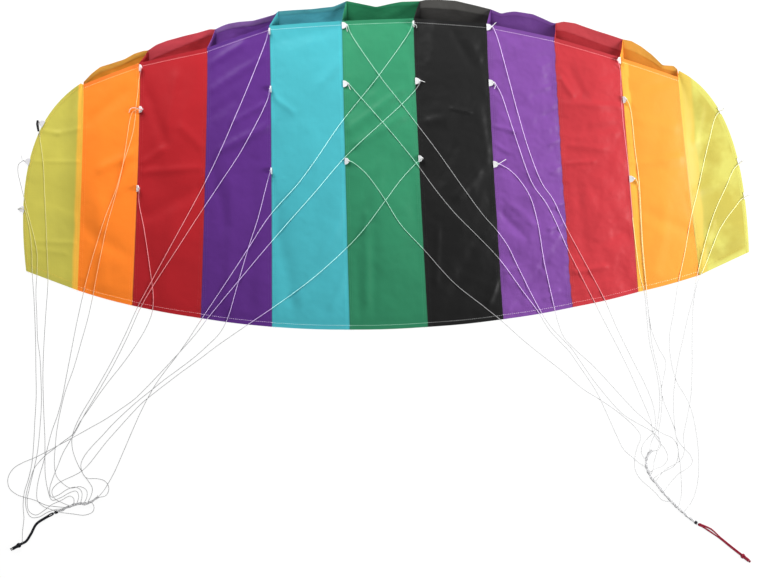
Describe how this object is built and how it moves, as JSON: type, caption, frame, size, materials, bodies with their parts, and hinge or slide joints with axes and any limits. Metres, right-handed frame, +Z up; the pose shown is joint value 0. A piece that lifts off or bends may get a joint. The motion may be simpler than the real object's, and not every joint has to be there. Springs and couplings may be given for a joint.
{
  "type": "stunt kite",
  "caption": "Foil stunt kite of coloured ripstop panels lying on its back, open cell mouths along its front edge, bridle lines gathered to a pigtail on each side.",
  "frame": {"origin": "on the floor, under the middle of the canopy's bounding box, cords left out", "axes": "+X along the span, to the right with the mouths at the far side, +Y towards the mouths, +Z up from the floor"},
  "size_m": [1.3376, 1.0227, 0.0384],
  "materials": {
    "cloth_orange": "thin coated ripstop, slightly glossy",
    "cloth_red": "thin coated ripstop, slightly glossy",
    "cloth_purple": "thin coated ripstop, slightly glossy",
    "cloth_cyan": "thin coated ripstop, slightly glossy",
    "cloth_green": "thin coated ripstop, slightly glossy",
    "cloth_black": "thin coated ripstop, slightly glossy",
    "cloth_yellow": "thin coated ripstop, slightly glossy",
    "rib_cloth": "thin white ripstop",
    "bridle_line": "white braid",
    "pigtail_black": "black braid",
    "pigtail_red": "dark red braid"
  },
  "bodies": {
    "root": {"upper_1_orange": "cloth_orange", "lower_1_orange": "cloth_orange", "upper_2_red": "cloth_red", "lower_2_red": "cloth_red", "upper_3_purple": "cloth_purple", "lower_3_purple": "cloth_purple", "upper_4_cyan": "cloth_cyan", "lower_4_cyan": "cloth_cyan", "upper_5_green": "cloth_green", "lower_5_green": "cloth_green", "upper_6_black": "cloth_black", "lower_6_black": "cloth_black", "upper_7_purple": "cloth_purple", "lower_7_purple": "cloth_purple", "upper_8_red": "cloth_red", "lower_8_red": "cloth_red", "upper_9_orange": "cloth_orange", "lower_9_orange": "cloth_orange", "rib_1": "rib_cloth", "rib_2": "rib_cloth", "rib_3": "rib_cloth", "rib_4": "rib_cloth", "rib_5": "rib_cloth", "rib_6": "rib_cloth", "rib_7": "rib_cloth", "rib_8": "rib_cloth", "rib_9": "rib_cloth", "rib_10": "rib_cloth", "tip_left": "cloth_yellow", "tip_right": "cloth_yellow", "pigtail_black": "pigtail_black", "stopper_black": "pigtail_black", "pigtail_red": "pigtail_red", "stopper_red": "pigtail_red", "bundle_left": "bridle_line", "bundle_right": "bridle_line", "line_0c": "bridle_line", "line_0b": "bridle_line", "line_0a": "bridle_line", "line_2a": "bridle_line", "line_2b": "bridle_line", "line_2c": "bridle_line", "line_4a": "bridle_line", "line_4b": "bridle_line", "line_4c": "bridle_line", "line_6c": "bridle_line", "line_6a": "bridle_line", "line_6b": "bridle_line", "line_5c": "bridle_line", "line_5b": "bridle_line", "line_5a": "bridle_line", "line_7c": "bridle_line", "line_7b": "bridle_line", "line_7a": "bridle_line", "line_9a": "bridle_line", "line_9c": "bridle_line", "line_9b": "bridle_line", "line_11c": "bridle_line", "line_11b": "bridle_line", "line_11a": "bridle_line"}
  },
  "joints": []
}
